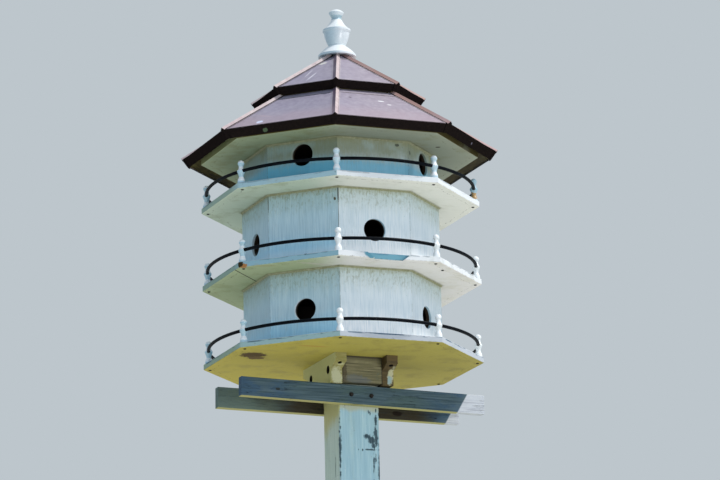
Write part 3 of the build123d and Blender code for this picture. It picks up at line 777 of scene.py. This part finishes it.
def side_directions(turns):
    """Unit vectors out from the axis at turns of one side, counted from the -Y side."""
    angle = np.asarray(turns, float) * SIDE_TURN - math.pi / 2
    return np.stack([np.cos(angle), np.sin(angle)], axis=-1)


def in_front(number, out, along, z):
    """Point or points on a side of the octagon: out from the axis, along the side and at level z."""
    direction = side_directions(number)
    return (direction[0] * out - direction[1] * along, direction[1] * out + direction[0] * along + AXIS_Y, z)


def octagon_bead(section):
    """Section of (apothem, level) points carried round the eight corners: the point at a corner lies
    apothem / cos 22.5 degrees from the axis."""
    section = np.array(section, float)
    corners = side_directions(np.arange(8) + 0.5)
    reach = np.tile(section[:, 0] / math.cos(HALF_SIDE), (8, 1))
    x, y = corners[:, :1] * reach, corners[:, 1:] * reach + AXIS_Y
    return closed_grid(np.stack([x, y, np.tile(section[:, 1], (8, 1))], axis=2))


def border_strips(roof, gap, width, rise):
    """Raised hem round each of a roof's eight facets. On a facet, s runs up the slope and u sideways: the
    outer corners keep a gap from hips and ends, the inner ones lie width further in, and the section stands
    from just under the sheet to rise above it."""
    apothem, level, top_apothem = roof
    # Along a hip the strip draws in by hip_lean of its inset, because the hip leans.
    eave_gap, sink, hip_lean = 1.2, -0.6, 1.08
    cosine, sine = math.cos(ROOF_SLOPE), math.sin(ROOF_SLOPE)
    length = (apothem - top_apothem) / cosine
    shapes = []
    for side in range(8):
        rings = []
        for inset, height in ((0, sink), (0, rise), (width, rise), (width, sink)):
            s = np.array([eave_gap + inset, eave_gap + inset, length - inset, length - inset])
            hip = (apothem - s * cosine) * math.tan(HALF_SIDE) - gap - inset * hip_lean
            u = hip * np.array([-1, 1, 1, -1])
            out = apothem - s * cosine + height * sine
            rings.append(np.stack(in_front(side, out, u, level + s * sine + height * cosine), axis=1))
        shapes.append(closed_grid(np.stack(rings, axis=1)))
    return joined(*shapes)


# Materials. A node takes the one whose key in FINISHES is part of its name.
walls = wall_paint()
# The lower deck's yellow underside is partly painted light bounced up from the ground.
lower_deck_paint = deck_paint(
    "yellowed paint on lower deck", ("#b4a74e", "#aa9f50"), ("#9a8e4e", "#908648"), ("#9dbabb", "#b5bbc3"),
    spots=(((-255, -22, 3186), (32, 28, 8), "#55421f"), ((-238, 6, 3186), (20, 16, 8), "#66522a"),
           ((120, 180, 3186), (50, 36, 8), "#8d7a44")),
    streaks=(((-188, -150, 3186), (-112, -154, 3186), 7, 0.8, "#b08f45"),
             ((-66, -270, 3199.5), (46, -270, 3199), 2.4, 0.9, "#34546e")),
    worn_rim=0.9)
# The last two streaks carry the notch's painted shade further left than the cut in the solid.
middle_deck_paint = deck_paint(
    "stained paint on middle deck", ("#afba93", "#e8e4e0"), ("#9aa278", "#d9d4c6"), ("#90b6c4", "#dfe2e5"),
    spots=(((-304, -97, 3383), (9, 10, 7), "#ac7a4a"), ((-310, -92, 3389), (8, 9, 8), "#332a14"),
           ((-189, -210, 3396), (5, 5, 4), "#1f1a14")),
    streaks=(((-286, -112, 3380), (-232, -134, 3380), 8, 0.45, "#ab9a6c"),
             ((-194, -178, 3380), (-100, -174, 3380), 8, 0.6, "#c9c3b6"),
             ((-64, -270, 3395), (-36, -270, 3378), 7, 1.0, "#5f97ab"),
             ((-64, -270, 3399), (-57, -270, 3396), 2.5, 0.9, "#3a5560")),
    seam=((-312, -63), (-224, 32)))
upper_deck_paint = deck_paint(
    "stained paint on upper deck", ("#c3d0bd", "#e8e7de"), ("#a3ad8f", "#d8d7ca"), ("#a4c4cf", "#dfe3e6"),
    spots=(((120, 190, 3574), (40, 30, 8), "#a39f80"),))
soffit_paint = deck_paint(
    "paint on soffit board", ("#a0ad8e", "#a6ab99"), ("#8d8f6a", "#97977c"), ("#5d5730", "#5a5332"),
    spots=(((180, -153, 3697), (6, 5, 6), "#3b3422"), ((120, -150, 3697), (8, 5, 5), "#6d6748")),
    worn_rim=0.0)
dropping_spots = (
    ((-277, -153, 3724), (9, 10, 7), "#d5d8ec"), ((-55, 0, 3932), (12, 8, 8), "#d6d2cc"),
    ((17, -196, 3787), (9, 4, 4), "#ecebea"), ((30, -216, 3774), (6, 5, 5), "#d6cfd3"),
    ((-58, -186, 3794), (4, 5, 6), "#6d6470"), ((150, 190, 3812), (8, 6, 12), "#d9d8d2"),
    ((-90, 250, 3790), (12, 8, 6), "#d9d8d2"), ((60, 120, 3900), (5, 5, 14), "#d9d8d2"))
dropping_runs = (
    ((-88, -46, 3892), (-127, -77, 3859), 2.6, 0.9, "#dcd8de"),
    ((-86, -15, 3907), (-123, -50, 3873), 2.4, 0.7, "#d2ccd4"),
    ((-265, -100, 3754), (-244, -149, 3741), 5, 0.45, "#b9a3aa"))
sheets = roof_metal("sun-faded coated roof sheet", ((0.3, "#8a7e8c"), (0.5, "#9d92a0"), (0.7, "#afa5af")),
                    dropping_spots, dropping_runs)
caps = roof_metal("coated hip cap", ((0.3, "#b39f9f"), (0.5, "#cbb8b6"), (0.7, "#d9cac7")), cap=True)
hems = roof_metal("worn hem of roof sheet", ((0.3, "#ac9fa6"), (0.5, "#bcb0b4"), (0.7, "#c9bfc0")))
beams = weathered_beam()
left_cleat = mount_wood(
    "stained paint on left cleat", (60, 60, 7), ((0.32, "#7a7744"), (0.6, "#948f5c")),
    "#878044", "#a3a67e", 0.62,
    streaks=(((-70, -79, 3158), (-62, -79, 3110), 15, 0.75, "#bdc0a4"),
             ((-62, -100, 3160), (-60, -90, 3160), 9, 0.5, "#c0c09a")),
    inner="#c4c58e")
right_cleat = mount_wood(
    "worn paint on right cleat", (60, 60, 7), ((0.32, "#40351f"), (0.6, "#5b4b2b")),
    "#4a4228", "#77745a", 0.7,
    streaks=(((75, -82, 3166), (69, -79, 3118), 7.5, 0.95, "#b9b897"),
             ((71, -79, 3143), (68, -79, 3120), 6, 0.9, "#8fa9ae"),
             ((76, -100, 3166), (75, -84, 3160), 5, 0.7, "#a9a886")),
    inner="#42361e")
fillers = mount_wood(
    "weathered filler board", (110, 9, 2.8), ((0.34, "#413c2a"), (0.5, "#666248"), (0.68, "#8b8668")),
    "#66644a", "#5f6350", 0.62,
    streaks=(((-48, -79, 3132), (20, -79, 3126), 12, 0.6, "#5a6268"),
             ((-51, -79, 3186), (-44, -79, 3122), 8, 0.7, "#3b301d")),
    dark_rims=True)
# The balusters' first spot is painted shade on one of the upper deck.
balusters = turned_gloss(
    "gloss enamel on balusters", "#aacfe0", "#eff3f6", "#9fb0b4", "#eef3f6", (-0.12, -0.06),
    (((300, -82, 3625), (14, 14, 26), "#9dbccb"), ((297, -84, 3599), (12, 12, 11), "#b08f5f")), 0.35)
# The finial's spot is painted shade.
urn = turned_gloss("gloss enamel on finial", "#b9cfda", "#e6ebef", "#a3b9c4", "#f2f5f6", (-0.02, 0.012),
                   (((0, 42, 4061), (30, 30, 7), "#a3bdc9"),), 0.2)
bars = coated_bar()
boards = roof_board()
steel = dark_steel()

FINISHES = {
    "post": post_paint(), "left_cleat": left_cleat, "right_cleat": right_cleat, "filler": fillers,
    "crossbeam": beams, "lower_deck": lower_deck_paint, "middle_deck": middle_deck_paint,
    "upper_deck": upper_deck_paint, "wall": walls, "balusters": balusters, "rail": bars,
    "roof_base": soffit_paint, "boards": boards, "spacers": boards, "sheets": sheets, "caps": caps,
    "finial": urn,
}
for name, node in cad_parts.items():
    finish = next(found for part, found in FINISHES.items() if part in name)
    for slot in node.material_slots:
        slot.material = finish

# Heads of the fixings, as (radius, height) rings, with the number of sides.
pan_head = turned_head([(1.2, 1.9), (2.8, 1.5), (3.7, 0.6), (3.8, 0.0)], 12)
hex_head = turned_head([(3.4, 4.6), (4.4, 4.0), (4.4, 0.0)], 6)
washer = turned_head([(4.8, 1.2), (5.2, 0.9), (5.2, 0.0)], 20)
deep_head = turned_head([(1.5, 3.6), (4.5, 2.8), (5.6, 1.0), (5.6, 0.0)], 16)
nail_head = turned_head([(0.8, 0.7), (1.7, 0.4), (1.9, 0.0)], 8)

# Screws under the decks: one at each corner, on a ring about the axis, and one more in the middle deck.
SCREW_RING = 322.0
deck_screws = [(x * SCREW_RING, y * SCREW_RING + AXIS_Y, LOWEST_UNDERSIDE + STOREY * storey)
               for storey in range(3) for x, y in side_directions(np.arange(8) + 0.5)]
deck_screws.append((163.6, -199.4, LOWEST_UNDERSIDE + STOREY))
piece("deck_screws", *copies(pan_head, deck_screws, (0, 0, -1)), steel, "rail")

# Bolts through the beams, front and rear. A head is seated 0.2 mm into its washer.
BEAM_FACE = 70.3
HEAD_SEAT = 1.0
bolt_places = np.array([(-26, -BEAM_FACE, 3093.5), (25, -BEAM_FACE, 3092.5),
                        (-26, BEAM_FACE, 3092), (25, BEAM_FACE, 3091.3)])
bolt_axes = np.sign(bolt_places) * (0, 1, 0)
bolts = joined(copies(washer, bolt_places, bolt_axes),
               copies(hex_head, bolt_places + bolt_axes * HEAD_SEAT, bolt_axes))
piece("beam_bolts", *bolts, steel, "rail")

recess_places = np.array([(side * RECESS_FLOOR, end * RECESS[1], RECESS[2])
                          for side in (-1, 1) for end in (-1, 1)])
recess_axes = np.sign(recess_places) * (1, 0, 0)
piece("cleat_screws", *copies(deep_head, recess_places, recess_axes), steel, "rail")

# Nails in the walls: two columns on each side, in rows at these heights above each storey's deck.
NAIL_COLUMNS = (-78, 78)
NAIL_ROWS = ((16, 60, 118, 164), (16, 60, 118, 164), (16, 58, 94))
nails = [(in_front(number, WALL_APOTHEM, along, LOWER_DECK + STOREY * storey + height),
          (*side_directions(number), 0.0))
         for storey, rows in enumerate(NAIL_ROWS) for number in range(8) for along in NAIL_COLUMNS
         for height in rows]
piece("wall_nails", *copies(nail_head, *zip(*nails)), walls, "wall_paint")

# Beads of caulk at the top and the foot of each storey's walls: (out from the wall, up from the board).
TOP_BEAD = ((0, -4.2), (3.3, -0.2), (1.5, -1.6), (0, -0.2))
FOOT_BEAD = ((0, 3.4), (0, 0.2), (3.1, 0.2), (1.2, 1.4))
BEAD_GAP = 0.1
beads = []
for storey, room in enumerate(ROOM_HEIGHTS):
    floor_level = LOWER_DECK + STOREY * storey
    for level, section in ((floor_level + room, TOP_BEAD), (floor_level, FOOT_BEAD)):
        beads.append(octagon_bead(np.array(section) + (WALL_APOTHEM + BEAD_GAP, level)))
piece("wall_caulk", *joined(*beads), old_caulk(), "wall_paint")

strips = [border_strips(roof, gap=8.2, width=2.2, rise=0.8) for roof in (LOWER_ROOF, UPPER_ROOF)]
piece("sheet_hems", *joined(*strips), hems, "roof_sheet")

photo_camera()

floor = placed("floor", bpy.data.meshes.new("floor"))
floor_corners = [(x * FLOOR_HALF, y * FLOOR_HALF, 0) for x, y in ((-1, -1), (1, -1), (1, 1), (-1, 1))]
floor.data.from_pydata(floor_corners, [], [(0, 1, 2, 3)])
floor_finish, floor_tree = new_finish("matt studio floor", 0.85)
feed(floor_tree, floor_tree.nodes["Principled BSDF"], {"Base Color": "#dcd9cd"})
floor.data.materials.append(floor_finish)

# Cool soft light from all round, and a plain pale grey where the camera looks past the floor.
world = bpy.data.worlds.new("studio")
bpy.context.scene.world = world
world.use_nodes = True
world_tree = world.node_tree
seen = add(world_tree, "LightPath").outputs
see_backdrop = either(world_tree, seen["Is Camera Ray"], seen["Is Glossy Ray"])
soft_light = world_tree.nodes["Background"]
feed(world_tree, soft_light, {"Color": "#cbe1f8", "Strength": SOFT_LIGHT})
backdrop = add(world_tree, "Background", {"Color": "#bdc6cc", "Strength": 1.0})
shown = add(world_tree, "MixShader", {0: see_backdrop, 1: soft_light, 2: backdrop})
feed(world_tree, world_tree.nodes["World Output"], {"Surface": shown})

key = lamp("key", "SUN", SUN_STRENGTH, SUNWARD)
key.data.angle = math.radians(9)
key.data.color = (1.0, 0.975, 0.94)
side_fill = lamp("side_fill", "AREA", SIDE_FILL_POWER, Vector(SIDE_FILL_PLACE) - Vector(SIDE_FILL_AIM))
side_fill.data.shape = "DISK"
side_fill.data.size = 3.0
side_fill.location = SIDE_FILL_PLACE

bpy.context.scene.view_settings.view_transform = "Standard"
